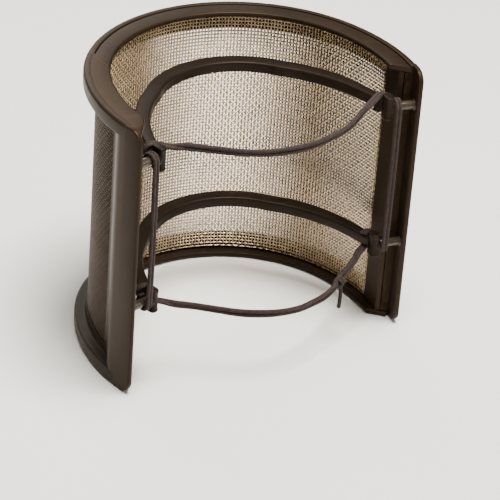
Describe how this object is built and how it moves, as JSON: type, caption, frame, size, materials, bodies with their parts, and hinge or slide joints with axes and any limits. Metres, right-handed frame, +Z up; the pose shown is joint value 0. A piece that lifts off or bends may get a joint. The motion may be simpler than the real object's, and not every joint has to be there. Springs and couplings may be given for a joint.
{
  "type": "microphone pop filter",
  "caption": "Horseshoe-shaped clip-on pop filter for a large microphone: curved double wire mesh in a black plastic frame, with yokes and elastic retaining cords.",
  "frame": {"origin": "under the middle of the bounding box, on the plane the frame's bottom rim stands on", "axes": "+Z up along the microphone's axis; +Y out through the middle of the curved screen, towards the singer; +X across the widest part of the horseshoe"},
  "size_m": [0.0996, 0.0768, 0.0875],
  "materials": {
    "moulded_plastic": "black moulded plastic, fine satin texture with a slight sheen",
    "yoke_plastic": "black satin moulded plastic",
    "wire_mesh": "woven steel wire, warm grey, bright on the crowns",
    "pin_metal": "polished black pins",
    "elastic_cord": "woven cover over elastic, dark brown-black"
  },
  "bodies": {
    "frame": {"outer_frame": "moulded_plastic", "inner_frame": "moulded_plastic", "left_mesh_clamp": "moulded_plastic", "outer_mesh": "wire_mesh", "inner_mesh": "wire_mesh", "upper_yoke": "yoke_plastic", "lower_yoke": "yoke_plastic", "upper_right_pin": "pin_metal", "upper_right_cord_loop": "elastic_cord", "upper_left_pin": "pin_metal", "upper_left_cord_loop": "elastic_cord", "lower_right_pin": "pin_metal", "lower_right_cord_loop": "elastic_cord", "lower_left_pin": "pin_metal", "lower_left_cord_loop": "elastic_cord", "upper_cord_right_end": "elastic_cord", "upper_cord_left_end": "elastic_cord", "lower_cord_right_end": "elastic_cord", "lower_cord_left_end": "elastic_cord", "right_cord_riser": "elastic_cord", "left_cord_riser": "elastic_cord", "cord_tail": "elastic_cord"},
    "upper_band": {"upper_cord_span": "elastic_cord"},
    "lower_band": {"lower_cord_span": "elastic_cord"}
  },
  "joints": [
    {"name": "upper_band_stretch", "type": "slide", "parent": "frame", "child": "upper_band", "axis": [0, 1, 0], "range_m": [-0.005, 0.01], "stiffness_N_per_m": 60},
    {"name": "lower_band_stretch", "type": "slide", "parent": "frame", "child": "lower_band", "axis": [0, 1, 0], "range_m": [-0.005, 0.01], "stiffness_N_per_m": 60}
  ]
}
